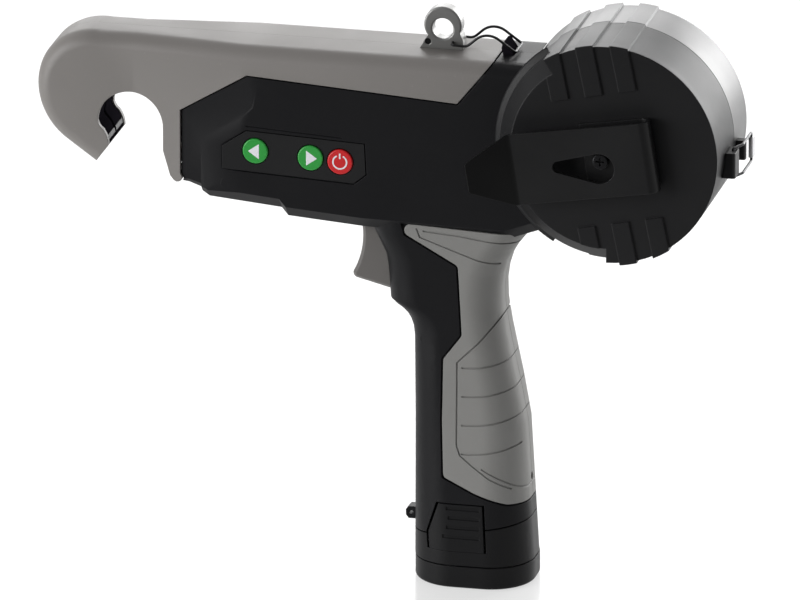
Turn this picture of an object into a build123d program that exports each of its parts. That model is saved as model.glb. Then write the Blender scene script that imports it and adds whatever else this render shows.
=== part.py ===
"""Electric vine tying tool: pistol body on a battery foot, hooked tying jaw in front, wire drum behind.

Millimetres. X runs from the jaw (minus) to the drum (plus), Y from the control side (minus) to the plain
side (plus), Z up. The origin is the middle of the battery's flat underside.
"""
import math
import os

from build123d import *

os.makedirs("parts", exist_ok=True)

# Moulded housing
wall = 2.4
barrel_half = 24.0
jaw_half = 17.5
top_z = 265.0
shoulder_in = 8.0
shoulder_down = 7.5
shoulder_steps = 4
split_gap = 0.7
taper_front_x = -166.0
taper_rear_x = -112.0
barrel_rear_x = 45.0
cut_floor_z = 150.0

# Hooked jaw: outer arc, and the round throat that the vine sits in
hook_top = (-183.5, top_z)
hook_shoulder = (-208.7, 254.5)
hook_left = (-214.7, 237.0)
hook_cheek = (-211.2, 222.0)
hook_flank = (-201.5, 210.0)
hook_tip = (-185.9, 198.9)
throat_x = -167.4
throat_z = 220.5
throat_r = 16.4
throat_tip_angle = 228.7
nose_angle = 178.0
nose_mid = (-182.9, 218.9)
nose_neck = (-181.0, 216.9)
nose_crest = (-179.2, 213.4)
nose_end = (-178.4, 209.0)
mouth_x = throat_x + throat_r
mouth_lip = [(mouth_x, 209.0), (-147.4, 197.0), (-144.7, 193.8)]

# Line where the grey hood meets the black body
hood_rear_top = (14.8, 269.4)
hood_rear_low = (-5.2, 244.6)
hood_front_high = (-108.5, 251.4)
hood_nose_high = (-142.3, 230.5)
hood_nose_low = (-142.3, 196.4)

# Underside of the barrel, from the nose back to the grip
belly = [(-138.6, 192.8), (-132.8, 190.7), (-128.3, 187.6), (-92.7, 184.4), (-89.5, 180.5), (-52.7, 177.8),
         (18.0, 176.4), (40.0, 184.5)]
belly_chamfer = 6.0

# Wire drum behind the barrel
drum_x = 71.0
drum_z = 229.0
drum_r = 54.0
drum_near_y = -37.2
drum_far_y = 29.2
drum_turn = 11.7
drum_fit = 0.6
rib_rise = 1.0
rib_width = 8.6
rib_pitch = 16.8
rib_end_high = 30.0
rib_end_low = -34.0
skirt_face_r = 47.0
skirt_foot_r = 57.5
skirt_foot_y = -24.6

# Grip sections: height, front, rear, half width, corner radius
grip_sections = [
    (-10.0, -29.8, 30.3, 26.2, 23.0),
    (80.0, -29.4, 24.8, 22.8, 18.0),
    (100.0, -29.4, 21.0, 22.2, 16.5),
    (112.0, -29.4, 18.4, 22.0, 16.0),
    (122.0, -29.6, 16.4, 21.7, 16.0),
    (127.0, -30.2, 15.4, 21.5, 16.0),
    (130.9, -31.6, 14.8, 21.4, 16.0),
    (133.8, -33.4, 14.3, 21.3, 16.0),
    (136.7, -36.3, 13.9, 21.3, 16.0),
    (138.7, -39.4, 13.6, 21.2, 16.0),
    (140.6, -41.5, 13.5, 21.2, 16.0),
    (149.0, -42.1, 13.3, 21.2, 16.0),
    (156.0, -42.6, 14.2, 21.3, 16.0),
    (163.0, -43.8, 16.4, 21.5, 16.0),
    (169.0, -46.6, 19.8, 21.8, 16.0),
    (175.0, -49.4, 24.4, 22.1, 16.0),
    (186.0, -52.0, 34.0, 22.6, 16.0),
]
grip_skin = 1.5
grip_wall = 1.8

# Seam between grip and battery, front and rear height
seam_front = (-29.4, 25.0)
seam_rear = (29.0, 33.4)
foot_z = 11.6
foot_edge = 1.8

# Controls
button_r = 6.2
button_y = -barrel_half
feed_back_at = (-104.3, 213.7)
feed_forward_at = (-77.2, 212.2)
power_at = (-62.6, 211.3)
panel_outline = [(-121.4, 215.4), (-108.9, 224.0), (-50.3, 221.4), (-49.5, 205.4), (-55.8, 200.2),
                 (-121.2, 203.3)]
panel_depth = 1.2
panel_groove = 0.6

# Wire path and mechanism
wire_z = 243.0
feed_x = -22.0
drive_roller_r = 7.5
idler_roller_r = 6.0
drive_z = wire_z - 0.5 - drive_roller_r
idler_z = wire_z + 0.5 + idler_roller_r
gear_module = 1.0
pinion_teeth = 10
gear_teeth = 30
pinion_at = (feed_x + 12.0, drive_z - 16.28)
twist_z = 212.0
running_fit = 0.05

# Hood hinge and latches
hinge_at = (-144.1, 196.4)
hinge_pin_r = 1.2
knuckle_r = 2.6
bail_wire_r = 0.65
bail_pivot = (-11.8, 268.6)
bail_half = 7.4


def across(y):
    """Side plane at the given Y. Extruding from it runs towards the control side."""
    return Plane.XZ.offset(-y)


def plate(points, y_low, y_high, mode=Mode.ADD, taper=0.0):
    """Straight-sided outline in side view, extruded between two Y values in the current part."""
    with BuildSketch(across(y_high)) as outline:
        with BuildLine():
            Polyline(*points, close=True)
        make_face()
    extrude(outline.sketch, amount=y_high - y_low, taper=taper, mode=mode)


def disc(at, radius, y_low, y_high, mode=Mode.ADD, taper=0.0):
    """Round piece along Y in the current part."""
    with BuildSketch(across(y_high)) as outline:
        with Locations(at):
            Circle(radius)
    extrude(outline.sketch, amount=y_high - y_low, taper=taper, mode=mode)


def rod(y, z, radius, x_low, x_high, mode=Mode.ADD):
    """Round piece along X in the current part."""
    with BuildSketch(Plane.YZ.offset(x_low)) as outline:
        with Locations((y, z)):
            Circle(radius)
    extrude(outline.sketch, amount=x_high - x_low, mode=mode)


def block(x_low, x_high, y_low, y_high, z_low, z_high, mode=Mode.ADD, rounding=0.0):
    """Box between limits in the current part, with rounded upright edges if asked for."""
    with BuildSketch(Plane.XY.offset(z_low)) as outline:
        with Locations(((x_low + x_high) / 2, (y_low + y_high) / 2)):
            if rounding > 0:
                RectangleRounded(x_high - x_low, y_high - y_low, rounding)
            else:
                Rectangle(x_high - x_low, y_high - y_low)
    extrude(outline.sketch, amount=z_high - z_low, mode=mode)


def throat_point(angle, radius=throat_r):
    """Point on a circle about the throat's middle, in side view."""
    turn = math.radians(angle)
    return (throat_x + radius * math.cos(turn), throat_z + radius * math.sin(turn))


def drum_point(angle, radius):
    """Point on a circle about the drum's axis, in side view."""
    turn = math.radians(angle)
    return (drum_x + radius * math.cos(turn), drum_z + radius * math.sin(turn))


def finish(part, name):
    """Names a finished piece and writes its file."""
    part.label = name
    export_step(part, f"parts/{name}.step")


# Half of the barrel and hood block, on the control side of the mid-plane
def shoulder_profile(inset):
    """Rounded shoulder from the side to the top: way in from the side, and way down from the top."""
    profile = []
    for step in range(shoulder_steps + 1):
        turn = math.pi / 2 * step / shoulder_steps
        profile.append(((shoulder_in - 0.6 * inset) * (1 - math.cos(turn)),
                        (shoulder_down - 0.6 * inset) * (1 - math.sin(turn))))
    return profile


def roof_section(x, half, top, inset):
    """Half cross-section of the barrel: flat top, rounded shoulder, upright side."""
    shoulder = [(way_in - half, top - way_down) for way_in, way_down in reversed(shoulder_profile(inset))]
    with BuildSketch(Plane.YZ.offset(x)) as section:
        with BuildLine():
            Polyline((-half, cut_floor_z), (0, cut_floor_z), (0, top), *shoulder, close=True)
        make_face()
    return section.sketch


def hook_outline(y, inset):
    """Outer outline of the hook in side view, carried on to the rear past its tip."""
    flank_slope = (hook_tip[1] - hook_flank[1]) / (hook_tip[0] - hook_flank[0])
    rear_x = taper_front_x + 30
    with BuildSketch(across(y)) as outline:
        with BuildLine():
            Polyline((rear_x, hook_tip[1] + flank_slope * (rear_x - hook_tip[0])), (rear_x, top_z), hook_top)
            ThreePointArc(hook_top, hook_shoulder, hook_left)
            ThreePointArc(hook_left, hook_cheek, hook_flank)
            Line(hook_flank, (rear_x, hook_tip[1] + flank_slope * (rear_x - hook_tip[0])))
        make_face()
        if inset > 0:
            offset(amount=-inset, kind=Kind.INTERSECTION)
    return outline.sketch


def side_outline(inset):
    """Side outline of hood and barrel together."""
    with BuildSketch(Plane.XZ) as outline:
        with BuildLine():
            Polyline((barrel_rear_x, belly[-1][1]), (barrel_rear_x, top_z), hook_top)
            ThreePointArc(hook_top, hook_shoulder, hook_left)
            ThreePointArc(hook_left, hook_cheek, hook_flank)
            Polyline(hook_flank, hook_tip, nose_end)
            ThreePointArc(nose_end, nose_crest, nose_neck)
            ThreePointArc(nose_neck, nose_mid, throat_point(nose_angle))
            ThreePointArc(throat_point(nose_angle), throat_point(90), throat_point(0))
            Polyline(throat_point(0), *mouth_lip, *belly, (barrel_rear_x, belly[-1][1]))
        make_face()
        if inset > 0:
            offset(amount=-inset, kind=Kind.INTERSECTION)
    return outline.sketch


def half_block(inset):
    """Half of hood and barrel together, with every outer face moved in by the inset."""
    wide = barrel_half - inset
    slim = jaw_half - inset
    top = top_z - inset
    shoulder = shoulder_profile(inset)
    with BuildPart() as half:
        extrude(hook_outline(0, inset), amount=slim - shoulder[-1][0])
        for outside, inside in zip(shoulder, shoulder[1:]):
            run = inside[0] - outside[0]
            slope = math.degrees(math.atan((outside[1] - inside[1]) / run))
            extrude(hook_outline(inside[0] - slim, inset + inside[1]), amount=run, taper=slope)
        block(taper_front_x, 0, -40, 10, cut_floor_z, 300, mode=Mode.SUBTRACT)
        loft([roof_section(taper_front_x, slim, top, inset), roof_section(taper_rear_x, wide, top, inset)],
             ruled=True)
        extrude(roof_section(taper_rear_x, wide, top, inset), amount=barrel_rear_x - taper_rear_x)
        extrude(side_outline(inset), amount=barrel_half, mode=Mode.INTERSECT)
        corner = barrel_half - belly_chamfer - 0.41 * inset
        edges = []
        for x, z in [(-152.0, belly[0][1])] + belly + [(barrel_rear_x + 1, belly[-1][1])]:
            with BuildSketch(Plane.YZ.offset(x)) as edge:
                with BuildLine():
                    Polyline((-corner, z + inset), (-corner - 10, z + inset + 10), (-corner - 10, z - 10),
                             (-corner, z - 10), close=True)
                make_face()
            edges.append(edge.sketch)
        loft(edges, ruled=True, mode=Mode.SUBTRACT)
    return half.part


outer_half = half_block(0)
inner_half = half_block(wall)


def hood_region(grow):
    """Side-view area that belongs to the hood, grown past the parting line if asked for."""
    with BuildSketch(Plane.XZ) as area:
        with BuildLine():
            Polyline(hood_rear_top, hood_rear_low, hood_front_high, hood_nose_high, hood_nose_low, hinge_at,
                     (hinge_at[0], 180), (-240, 180), (-240, hood_rear_top[1]), close=True)
        make_face()
        with Locations(hinge_at):
            Circle(knuckle_r)
        if grow > 0:
            offset(amount=grow, kind=Kind.INTERSECTION)
    return area.sketch


def grip_section(row, inset):
    """Rounded cross-section of the grip."""
    height, front, rear, half, corner = row
    with BuildSketch(Plane.XY.offset(height)) as section:
        with Locations(((front + rear) / 2, 0)):
            RectangleRounded(rear - front - 2 * inset, 2 * (half - inset), corner - inset)
    return section.sketch


def grip_loft(inset):
    """Solid grip through its sections, with every side moved in by the inset."""
    with BuildPart() as grip:
        loft([grip_section(row, inset) for row in grip_sections], ruled=True)
    return grip.part


grip_outer = grip_loft(0)
grip_mid = grip_loft(grip_skin)
grip_inner = grip_loft(grip_skin + grip_wall)
groove_floor = grip_loft(0.55)
groove_width = 0.8

# Area of the soft grip cover in side view, and its engraved lines
cover_outline = [(-32.4, 182.0), (40.0, 178.6), (40.0, 40.8), (18.9, 42.8), (3.1, 48.4), (-11.9, 55.7),
                 (-12.7, 83.7),
                 (-12.3, 114.8), (-3.3, 126.9), (-5.3, 162.1), (-30.9, 176.6)]
cover_groove = 0.9

# Battery latch tab in side view, and the sloping seam under the grip
latch_outline = [(-14.3, 42.0), (7.3, 42.0), (8.1, 27.0), (8.5, 18.6), (-19.0, 18.6), (-19.6, 27.0)]
latch_slit = 1.1
latch_top_gap = 0.6
latch_foot_gap = 0.1
latch_lines = [(-10.4, 40.0), (-9.4, 35.3), (-10.2, 30.5), (-12.0, 25.8)]
latch_line_end = 6.0
latch_line_width = 1.7
seam_slope = (seam_rear[1] - seam_front[1]) / (seam_rear[0] - seam_front[0])


def seam_z(x):
    """Height of the grip's lower edge at X."""
    return seam_front[1] + seam_slope * (x - seam_front[0])


def grown(points, grow):
    """Outline as a side-view sketch, grown by the given amount."""
    with BuildSketch(Plane.XZ) as area:
        with BuildLine():
            Polyline(*points, close=True)
        make_face()
        offset(amount=grow, kind=Kind.INTERSECTION)
    return area.sketch


def latch_notch():
    """Latch outline with its slits, the gap over its top and the fine gap under its foot."""
    points = []
    for x, z in latch_outline:
        rise = latch_top_gap if z > 40 else (-latch_foot_gap if z < 20 else 0.0)
        points.append((x + (latch_slit if x > 0 else -latch_slit), z + rise))
    return points


def below_seam(gap):
    """Side-view area under the sloping seam."""
    return [(-45, seam_z(-45) + gap), (45, seam_z(45) + gap), (45, -30), (-45, -30)]


# Trigger, in side view, and the slot that it slides in
trigger_low = (-40.6, 143.6)
trigger_tip = (-61.4, 148.8)
trigger_lip_r = 2.6
trigger_waist = (-55.4, 166.0)
trigger_top = (-55.8, 176.2)
trigger_half = 8.6
trigger_travel = 6.0

# Fine grooves in the grip covers, in side view
band_first_z = 110.9
band_pitch = 14.45
rear_hole_z = 51.4
groove_paths = [
    [(-22.3, 178.8), (-4.3, 177.5), (11.8, 175.3), (30.0, 172.6)],
    [(-25.4, 179.9), (-23.8, 175.6), (-7.7, 169.9), (5.8, 165.2), (14.0, 162.5)],
    [(16.8, 138.6), (4.9, 123.7), (-5.5, 113.3), (-5.5, 72.2), (-3.9, 67.1), (1.7, 62.4),
     (10.5, 55.9), (20.6, 50.3)],
    [(6.7, 60.8), (14.1, 56.5), (19.5, 53.2), (27.0, 48.6)],
]
with BuildPart() as cover_grooves:
    with BuildSketch(Plane.XZ) as groove_lines:
        for path in groove_paths:
            with BuildLine() as groove_line:
                Polyline(*path)
            trace(groove_line.line, line_width=groove_width)
        for band in range(4):
            z = band_first_z - band * band_pitch
            with BuildLine() as band_line:
                ThreePointArc((-3.2, z), (9.5, z + 1.0), (24.0, z + 4.6))
            trace(band_line.line, line_width=groove_width)
    add(grip_outer)
    add(groove_floor, mode=Mode.SUBTRACT)
    extrude(groove_lines.sketch, amount=40, both=True, mode=Mode.INTERSECT)

# Soft grip cover, left and right
for side, name in ((-1, "left_grip_cover"), (1, "right_grip_cover")):
    with BuildPart() as grip_cover:
        add(grip_outer)
        add(grip_mid, mode=Mode.SUBTRACT)
        with BuildSketch(Plane.XZ) as cover_area:
            with BuildLine():
                Polyline(*cover_outline, close=True)
            make_face()
            fillet(cover_area.vertices().filter_by(lambda v: v.X < 20), 3.0)
        extrude(amount=40, both=True, mode=Mode.INTERSECT)
        add(cover_grooves.part, mode=Mode.SUBTRACT)
        rod(0, rear_hole_z, 2.0, 15, 40, mode=Mode.SUBTRACT)
        split(bisect_by=Plane.XZ.offset(-side * 0.15), keep=Keep.BOTTOM if side > 0 else Keep.TOP)
    finish(grip_cover.part, name)

# Front recess of the body's sides, beside the hood's nose
recess_outline = [(-150, 180), (-131.6, 180), (-132.2, 217.4), (-106.3, 235.4), (-100.0, 260.0),
                  (-150, 260.0)]
recess_depth = 1.1
recess_bank = 2.6
side_lean = math.atan2(barrel_half - jaw_half, taper_rear_x - taper_front_x)

# Screw posts: place in side view, used by the housing screws
post_places = [(-118.0, 196.0), (-46.0, 190.0), (6.0, 190.0), (-21.0, 123.0)]
post_r = 3.6
screw_r = 1.5
screw_head_r = 2.7

# Ribs round the twist drive: X and bore radius. Posts of the feed frame and the main board.
rib_places_x = {-96.0: 15.1, -58.0: 13.6}
frame_far_y = 8.6
frame_thick = 2.4
frame_posts = [(-35.0, 206.0), (1.0, 206.0), (2.0, 238.0)]
main_board_y = 17.2
board_thick = 1.6
board_posts = [(-96.0, 238.0), (-54.0, 238.0)]
control_board_y = -17.5
control_posts = [(-90.5, 218.4), (-90.5, 205.8)]


def post_depth(place):
    """Depth of a screw post from the mid-plane to inside the outer wall."""
    return barrel_half - 1.0 if place[1] > 175 else 17.8


def local_half(x):
    """Half width of the hood at X."""
    share = (x - taper_front_x) / (taper_rear_x - taper_front_x)
    return jaw_half + (barrel_half - jaw_half) * min(max(share, 0.0), 1.0)


# Body shell before the two sides differ, on the control side
with BuildPart() as nose_wall:
    add(outer_half)
    extrude(hood_region(split_gap + wall), amount=40, mode=Mode.INTERSECT)
    extrude(hood_region(split_gap), amount=40, mode=Mode.SUBTRACT)
    block(-126, 60, -40, 10, 150, 300, mode=Mode.SUBTRACT)
    rod(0, twist_z, 6.5, -146, -130, mode=Mode.SUBTRACT)

with BuildPart() as cover_seat:
    add(grip_outer)
    add(grip_mid, mode=Mode.SUBTRACT)
    extrude(grown(cover_outline, cover_groove), amount=40, mode=Mode.INTERSECT)



def recess_face(depth, grow):
    """Recess outline on the leaning side of the nose, at a depth under it."""
    along = (math.cos(side_lean), -math.sin(side_lean), 0)
    outward = (-math.sin(side_lean), -math.cos(side_lean), 0)
    side_place = (taper_rear_x, -barrel_half, 0)
    with BuildSketch(Plane(origin=side_place, x_dir=along, z_dir=outward).offset(-depth)) as face:
        with BuildLine():
            Polyline(*[((x - taper_rear_x) / math.cos(side_lean), z) for x, z in recess_outline], close=True)
        make_face()
        if grow > 0:
            offset(amount=grow, kind=Kind.INTERSECTION)
    return face.sketch


# Recess with a sloping bank on the side, carried on sharply over the lower edge
with BuildPart() as recess_tool:
    add(outer_half)
    add(half_block(recess_depth), mode=Mode.SUBTRACT)
    plate(recess_outline[:3] + [(-150, recess_outline[2][1])], -40, 0, mode=Mode.INTERSECT)
    loft([recess_face(recess_depth * math.cos(side_lean), 0), recess_face(-0.3, recess_bank)], ruled=True)

with BuildPart() as shell_blank:
    add(grip_outer)
    split(bisect_by=Plane.XZ, keep=Keep.TOP)
    add(outer_half)
    add(grip_inner, mode=Mode.SUBTRACT)
    add(inner_half, mode=Mode.SUBTRACT)
    extrude(hood_region(split_gap), amount=40, mode=Mode.SUBTRACT)
    add(nose_wall.part)
    add(cover_seat.part, mode=Mode.SUBTRACT)
    add(recess_tool.part, mode=Mode.SUBTRACT)
    # Room for the drum, the battery, its latch tab and the trigger
    disc((drum_x, drum_z), drum_r + drum_fit, -50, 10, mode=Mode.SUBTRACT)
    plate(below_seam(0), -40, 10, mode=Mode.SUBTRACT)
    plate(latch_notch(), -40, 0, mode=Mode.SUBTRACT)
    block(-70, -30, -trigger_half - 0.6, 1, trigger_low[1] - 0.8, 176.9, mode=Mode.SUBTRACT)
    for place in post_places:
        disc(place, post_r, -post_depth(place), -0.1)
    # Ears for the hood's hinge pin
    disc(hinge_at, knuckle_r - 0.2, -7.8, -2.0)
    plate([(hinge_at[0], hinge_at[1] - knuckle_r + 0.2), (-136.0, hinge_at[1] - 3.4),
           (-136.0, hinge_at[1] + 3.4), (hinge_at[0], hinge_at[1] + knuckle_r - 0.2)], -7.8, -2.0)
    disc(hinge_at, hinge_pin_r, -20, 0, mode=Mode.SUBTRACT)
    # Rib that holds the battery socket
    block(-14, 8, -20.2, -14.2, 103, 107)

with BuildPart() as left_body_shell:
    add(shell_blank.part)
    # Screw holes, seat of the control panel with its buttons, and a fine line above it
    for place in post_places:
        disc(place, screw_r, -12, 0, mode=Mode.SUBTRACT)
    plate(panel_outline, -barrel_half - 1, -barrel_half + panel_depth, mode=Mode.SUBTRACT)
    for at in (feed_back_at, feed_forward_at, power_at):
        disc(at, button_r + 0.5, -30, -10, mode=Mode.SUBTRACT)
    for place in control_posts:
        disc(place, 2.2, 1.6 - barrel_half, control_board_y)
    plate([(-109.0, 226.2), (-61.7, 223.6), (-61.7, 223.0), (-109.0, 225.6)], -30, -barrel_half + 0.5,
          mode=Mode.SUBTRACT)
finish(left_body_shell.part, "left_body_shell")

with BuildPart() as right_body_shell:
    add(shell_blank.part.mirror(Plane.XZ))
    # Screw holes sunk from outside, ribs round the twist motor and posts for the frame and the main board
    for x in rib_places_x:
        with BuildPart(mode=Mode.PRIVATE) as rib:
            block(x, x + 2.4, 0.4, barrel_half - 1, 196.0, 226.0)
            rod(0, twist_z, rib_places_x[x], x - 1, x + 4, mode=Mode.SUBTRACT)
        add(rib.part)
    for place in frame_posts:
        disc(place, 3.4, frame_far_y + frame_thick, barrel_half - 1)
        disc(place, screw_r, frame_far_y, 20, mode=Mode.SUBTRACT)
    for place in board_posts:
        disc(place, 3.0, main_board_y + board_thick, barrel_half - 1)
    block(-18, -4, 7.2, 19.5, 157, 163)
    for place in post_places:
        disc(place, screw_r + 0.3, 0, 40, mode=Mode.SUBTRACT)
        disc(place, screw_head_r + 0.3, post_depth(place) - 1.4, 40, mode=Mode.SUBTRACT)
finish(right_body_shell.part, "right_body_shell")

# Hood shells with the hooked jaw
guide_r_in = throat_r + 0.7
guide_r_out = throat_r + 4.6
guide_half = 14.6
guide_angles = (62.0, throat_tip_angle - 4.0)
nose_back = 0.7
strip_outline = [(-179.4, 213.0), (-178.9, 210.9), (-183.9, 209.5), (-184.4, 211.6)]
hood_posts = [(-196.0, 240.0), (-128.0, 253.0), (-60.0, 256.5)]
eyelet_x = -16.9


def guide_sector(r_low, r_high, half, angles):
    """Bent strip round the throat, between two angles, across the jaw."""
    first, last = angles
    middle = (first + last) / 2
    with BuildSketch(across(half)) as sector:
        with BuildLine():
            ThreePointArc(throat_point(first, r_low), throat_point(middle, r_low), throat_point(last, r_low))
            Line(throat_point(last, r_low), throat_point(last, r_high))
            ThreePointArc(throat_point(last, r_high), throat_point(middle, r_high),
                          throat_point(first, r_high))
            Line(throat_point(first, r_high), throat_point(first, r_low))
        make_face()
    return sector.sketch


for side, name in ((-1, "left_hood_shell"), (1, "right_hood_shell")):
    with BuildPart() as hood_shell:
        add(outer_half)
        add(inner_half, mode=Mode.SUBTRACT)
        extrude(hood_region(0), amount=40, mode=Mode.INTERSECT)
        # Knuckle that turns on the hinge pin
        disc(hinge_at, knuckle_r - 0.1, -14.6, -8.6)
        # Seat of the black guide round the throat
        seat_angles = (guide_angles[0] - 1.0, guide_angles[1] + 1.0)
        extrude(guide_sector(throat_r - 6, guide_r_out + 0.2, 0, seat_angles), amount=guide_half + 0.2,
                mode=Mode.SUBTRACT)
        # Screw posts
        for place in hood_posts:
            disc(place, post_r, 1 - local_half(place[0]), -0.1)
        # Way out of the twist head, hinge bore and room for the body's ears
        rod(0, twist_z, 7.6, -160, -140, mode=Mode.SUBTRACT)
        disc(hinge_at, hinge_pin_r + running_fit, -14.0, 0, mode=Mode.SUBTRACT)
        disc(hinge_at, knuckle_r + 0.4, -8.2, 0, mode=Mode.SUBTRACT)
        plate([(hinge_at[0], 185), (-138, 185), (-138, hinge_at[1] + knuckle_r + 1.6),
               (hinge_at[0], hinge_at[1] + knuckle_r + 0.4)], -8.2, 0, mode=Mode.SUBTRACT)
        if side < 0:
            for place in hood_posts:
                disc(place, screw_r, -12, 0, mode=Mode.SUBTRACT)
        else:
            mirror(hood_shell.part, about=Plane.XZ, mode=Mode.REPLACE)
            for place in hood_posts:
                disc(place, screw_r + 0.3, 0, 40, mode=Mode.SUBTRACT)
                disc(place, screw_head_r + 0.3, local_half(place[0]) - 2.2, 40, mode=Mode.SUBTRACT)
    finish(hood_shell.part, name)

# Black guide that leads the wire round the throat and over the nose, with a channel for the wire
with BuildPart() as wire_channel:
    extrude(guide_sector(guide_r_in - 8, guide_r_in + 1.4, 1.3, (guide_angles[0] - 2, guide_angles[1] + 2)),
            amount=2.6)

with BuildPart() as jaw_guide:
    extrude(guide_sector(guide_r_in, guide_r_out, guide_half, guide_angles), amount=2 * guide_half)
    with BuildSketch(across(guide_half)) as nose:
        with BuildLine():
            nose_points = [(x - nose_back, z) for x, z in (nose_end, nose_crest, nose_neck, nose_mid)]
            guide_end = throat_point(guide_angles[1], guide_r_in)
            ThreePointArc((nose_points[0][0], guide_end[1] + 0.4), nose_points[1], nose_points[2])
            Polyline(nose_points[2], nose_points[3], throat_point(nose_angle, guide_r_in + 0.5),
                     throat_point(guide_angles[1] - 1, guide_r_in + 2),
                     (nose_points[0][0], guide_end[1] + 0.4))
        make_face()
    extrude(nose.sketch, amount=2 * guide_half)
    add(wire_channel.part, mode=Mode.SUBTRACT)
    plate(strip_outline, -20, 20, mode=Mode.SUBTRACT)
finish(jaw_guide.part, "jaw_guide")

# Hard steel strip let into the guide's nose
with BuildPart() as cutting_strip:
    plate(strip_outline, -guide_half, guide_half)
    add(wire_channel.part, mode=Mode.SUBTRACT)
finish(cutting_strip.part, "cutting_strip")

# Hanging eye on the hood
eyelet_z = 275.2
eyelet_rise = 1.7
eyelet_r = 9.2
eyelet_hole_r = 5.1
eyelet_half = 3.8
with BuildPart() as hanging_eye:
    with BuildSketch(across(eyelet_half)) as eye_side:
        with Locations((eyelet_x, eyelet_z + eyelet_rise)):
            Circle(eyelet_r)
        with BuildLine():
            Polyline((eyelet_x - 11.2, top_z), (eyelet_x + 10.2, top_z), (eyelet_x + 10.0, 269.4),
                     (eyelet_x + 8.2, 274.2), (eyelet_x - 7.0, 272.4), (eyelet_x - 9.0, 268.8), close=True)
        make_face()
        with Locations((eyelet_x, eyelet_z)):
            Circle(eyelet_hole_r, mode=Mode.SUBTRACT)
    extrude(amount=2 * eyelet_half)
    rims = hanging_eye.edges().filter_by(GeomType.CIRCLE).filter_by(lambda e: e.radius > eyelet_hole_r - 0.1)
    fillet(rims, 0.9)
    disc(bail_pivot, bail_wire_r + running_fit, -10, 10, mode=Mode.SUBTRACT)
    disc((eyelet_x - 7.2, 268.4), 0.9, -10, 10, mode=Mode.SUBTRACT)
    disc((eyelet_x - 7.2, 268.4), 1.6, -10, -eyelet_half + 0.8, mode=Mode.SUBTRACT)
finish(hanging_eye.part, "hanging_eye")


def wire_form(points, bends, radius):
    """Bent round wire along straight runs with rounded corners, one bend radius for each."""
    with BuildLine() as path:
        FilletPolyline(*points, radius=bends)
    with BuildSketch(Plane(origin=points[0], z_dir=Vector(*points[1]) - Vector(*points[0]))) as section:
        Circle(radius)
    sweep(section.sketch, path=path.line)


# Sprung wire bail that ties the hood to the body
bail_bar = (19.6, 267.0)
bail_side = [(bail_pivot[0], bail_pivot[1]), (-4.2, 268.2), (5.6, 277.0), bail_bar]
leg_bends = [1.4, 5.0, 9.0, 1.4]
with BuildPart() as top_bail:
    near_leg = [(x, -bail_half, z) for x, z in bail_side]
    far_leg = [(x, bail_half, z) for x, z in reversed(bail_side)]
    inner = eyelet_half - 2.6
    start = (bail_pivot[0], -inner, bail_pivot[1])
    stop = (bail_pivot[0], inner, bail_pivot[1])
    wire_form([start] + near_leg + far_leg + [stop], leg_bends + list(reversed(leg_bends)), bail_wire_r)
finish(top_bail.part, "top_bail")

# Catch on the body's top for the wire bail
catch_half = 5.6
with BuildPart() as top_catch:
    plate([(13.2, top_z), (18.6, top_z), (17.0, 267.4), (14.6, 271.0), (13.0, 271.0), (12.4, 268.0)],
          -catch_half, catch_half)
    fillet(top_catch.edges().filter_by(Axis.Y).sort_by(Axis.Z)[-2:], 0.8)
finish(top_catch.part, "top_catch")

# Hinge pin at the foot of the hood
with BuildPart() as hood_hinge_pin:
    disc(hinge_at, hinge_pin_r, -13.8, 13.8)
finish(hood_hinge_pin.part, "hood_hinge_pin")

# Wire drum: fixed half on the control side, lift-off cover on the other
axle_r = 6.0
clip_screw_at = (drum_x - 2.2, drum_z - 2.3)
rib_places = [-rib_pitch, 0.0, rib_pitch]


def drum_plane(y):
    """Side plane at Y, on the drum's axis and turned with the drum's pattern."""
    turn = math.radians(drum_turn)
    return Plane(origin=(drum_x, y, drum_z), x_dir=(math.cos(turn), 0, math.sin(turn)), z_dir=(0, -1, 0))


def drum_skin(y_low, y_high, face_sign):
    """Outside of one drum half: plain drum with raised bars that run over the rim and end on its face."""
    near_y = y_low - rib_rise if face_sign < 0 else y_low
    bar_near_y = near_y - rib_rise if face_sign < 0 else y_low
    bar_far_y = y_high + rib_rise if face_sign > 0 else y_high
    disc((drum_x, drum_z), drum_r, near_y, y_high)
    with BuildSketch(drum_plane(bar_far_y)) as bars:
        with Locations(*[(place, 0) for place in rib_places]):
            Rectangle(rib_width, 200)
        with Locations((0, (rib_end_high + rib_end_low) / 2)):
            Rectangle(200, rib_end_high - rib_end_low, mode=Mode.SUBTRACT)
        Circle(drum_r + rib_rise, mode=Mode.INTERSECT)
    extrude(bars.sketch, amount=bar_far_y - bar_near_y)


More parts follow.
